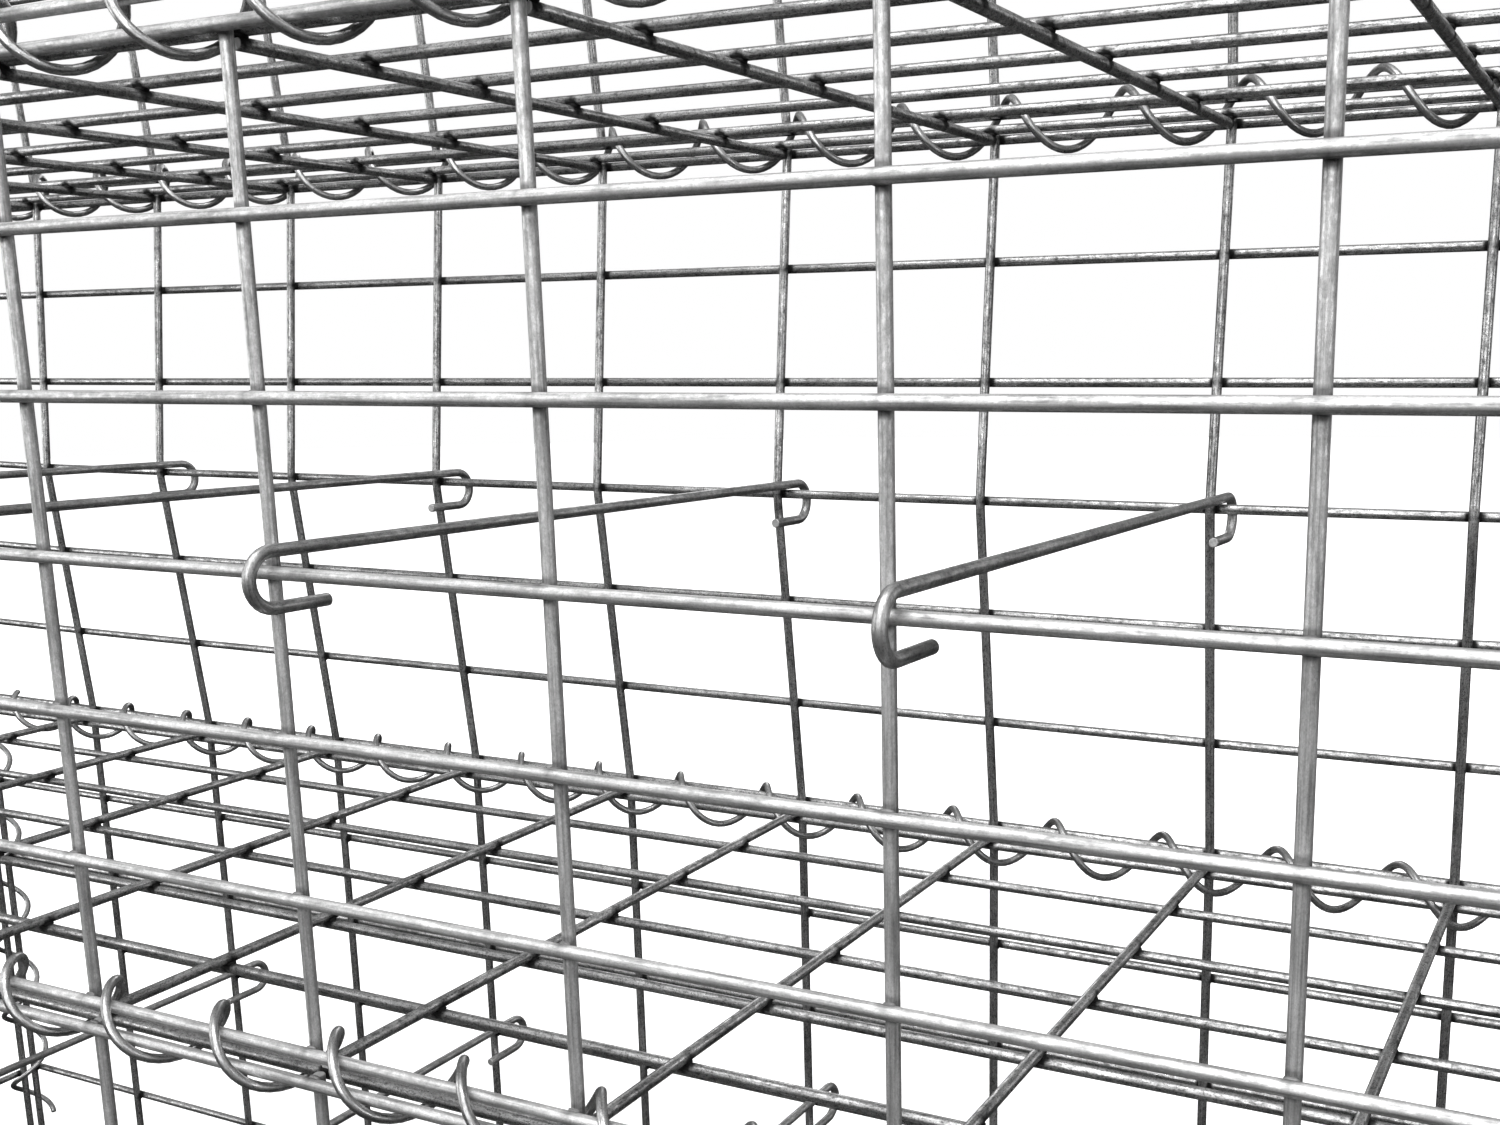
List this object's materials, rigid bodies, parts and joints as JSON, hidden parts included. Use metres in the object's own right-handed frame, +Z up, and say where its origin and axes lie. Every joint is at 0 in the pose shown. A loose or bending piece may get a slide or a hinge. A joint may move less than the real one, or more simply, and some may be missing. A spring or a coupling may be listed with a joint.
{
  "type": "welded mesh gabion wall",
  "caption": "Tiered welded-wire gabion cage, laced with spiral binders, with hooked spacer ties across each cell and a hinged mesh lid.",
  "frame": {"origin": "on the ground, in the middle of the wall's length and depth", "axes": "+X along the wall, +Y from the front panel to the back panel, +Z up"},
  "size_m": [1.0336, 0.3464, 0.9552],
  "materials": {
    "mesh_wire": "galvanised, mottled matte zinc",
    "binder_wire": "galvanised, dull zinc",
    "tie_wire": "galvanised, dull zinc, darker"
  },
  "bodies": {
    "cage": {"back_binder_1": "binder_wire", "back_binder_2": "binder_wire", "back_binder_3": "binder_wire", "back_panel_1": "mesh_wire", "back_panel_2": "mesh_wire", "back_panel_3": "mesh_wire", "base_panel": "mesh_wire", "corner_binder_back_left_1": "binder_wire", "corner_binder_back_left_2": "binder_wire", "corner_binder_back_left_3": "binder_wire", "corner_binder_back_right_1": "binder_wire", "corner_binder_back_right_2": "binder_wire", "corner_binder_back_right_3": "binder_wire", "corner_binder_front_left_1": "binder_wire", "corner_binder_front_left_2": "binder_wire", "corner_binder_front_left_3": "binder_wire", "corner_binder_front_right_1": "binder_wire", "corner_binder_front_right_2": "binder_wire", "corner_binder_front_right_3": "binder_wire", "floor_panel_2": "mesh_wire", "floor_panel_3": "mesh_wire", "front_binder_1": "binder_wire", "front_binder_2": "binder_wire", "front_binder_3": "binder_wire", "front_panel_1": "mesh_wire", "front_panel_2": "mesh_wire", "front_panel_3": "mesh_wire", "left_binder_1": "binder_wire", "left_binder_2": "binder_wire", "left_binder_3": "binder_wire", "left_panel_1": "mesh_wire", "left_panel_2": "mesh_wire", "left_panel_3": "mesh_wire", "lid_hinge_binder": "binder_wire", "right_binder_1": "binder_wire", "right_binder_2": "binder_wire", "right_binder_3": "binder_wire", "right_panel_1": "mesh_wire", "right_panel_2": "mesh_wire", "right_panel_3": "mesh_wire"},
    "lid": {"lid_panel": "mesh_wire"},
    "tie_1_1": {"spacer_tie_1_1": "tie_wire"},
    "tie_1_2": {"spacer_tie_1_2": "tie_wire"},
    "tie_1_3": {"spacer_tie_1_3": "tie_wire"},
    "tie_1_4": {"spacer_tie_1_4": "tie_wire"},
    "tie_2_1": {"spacer_tie_2_1": "tie_wire"},
    "tie_2_2": {"spacer_tie_2_2": "tie_wire"},
    "tie_2_3": {"spacer_tie_2_3": "tie_wire"},
    "tie_2_4": {"spacer_tie_2_4": "tie_wire"},
    "tie_3_1": {"spacer_tie_3_1": "tie_wire"},
    "tie_3_2": {"spacer_tie_3_2": "tie_wire"},
    "tie_3_3": {"spacer_tie_3_3": "tie_wire"},
    "tie_3_4": {"spacer_tie_3_4": "tie_wire"}
  },
  "joints": [
    {"name": "lid_hinge", "type": "hinge", "parent": "cage", "child": "lid", "pos_m": [0, 0.15, 0.9406], "axis": [-1, 0, 0], "range_deg": [0, 190]},
    {"name": "tie_1_1_slide", "type": "slide", "parent": "cage", "child": "tie_1_1", "axis": [1, 0, 0], "range_m": [0, 0.0914]},
    {"name": "tie_1_2_slide", "type": "slide", "parent": "cage", "child": "tie_1_2", "axis": [1, 0, 0], "range_m": [0, 0.0914]},
    {"name": "tie_1_3_slide", "type": "slide", "parent": "cage", "child": "tie_1_3", "axis": [1, 0, 0], "range_m": [0, 0.0914]},
    {"name": "tie_1_4_slide", "type": "slide", "parent": "cage", "child": "tie_1_4", "axis": [1, 0, 0], "range_m": [0, 0.0914]},
    {"name": "tie_2_1_slide", "type": "slide", "parent": "cage", "child": "tie_2_1", "axis": [1, 0, 0], "range_m": [0, 0.0914]},
    {"name": "tie_2_2_slide", "type": "slide", "parent": "cage", "child": "tie_2_2", "axis": [1, 0, 0], "range_m": [0, 0.0914]},
    {"name": "tie_2_3_slide", "type": "slide", "parent": "cage", "child": "tie_2_3", "axis": [1, 0, 0], "range_m": [0, 0.0914]},
    {"name": "tie_2_4_slide", "type": "slide", "parent": "cage", "child": "tie_2_4", "axis": [1, 0, 0], "range_m": [0, 0.0914]},
    {"name": "tie_3_1_slide", "type": "slide", "parent": "cage", "child": "tie_3_1", "axis": [1, 0, 0], "range_m": [0, 0.0914]},
    {"name": "tie_3_2_slide", "type": "slide", "parent": "cage", "child": "tie_3_2", "axis": [1, 0, 0], "range_m": [0, 0.0914]},
    {"name": "tie_3_3_slide", "type": "slide", "parent": "cage", "child": "tie_3_3", "axis": [1, 0, 0], "range_m": [0, 0.0914]},
    {"name": "tie_3_4_slide", "type": "slide", "parent": "cage", "child": "tie_3_4", "axis": [1, 0, 0], "range_m": [0, 0.0914]}
  ]
}
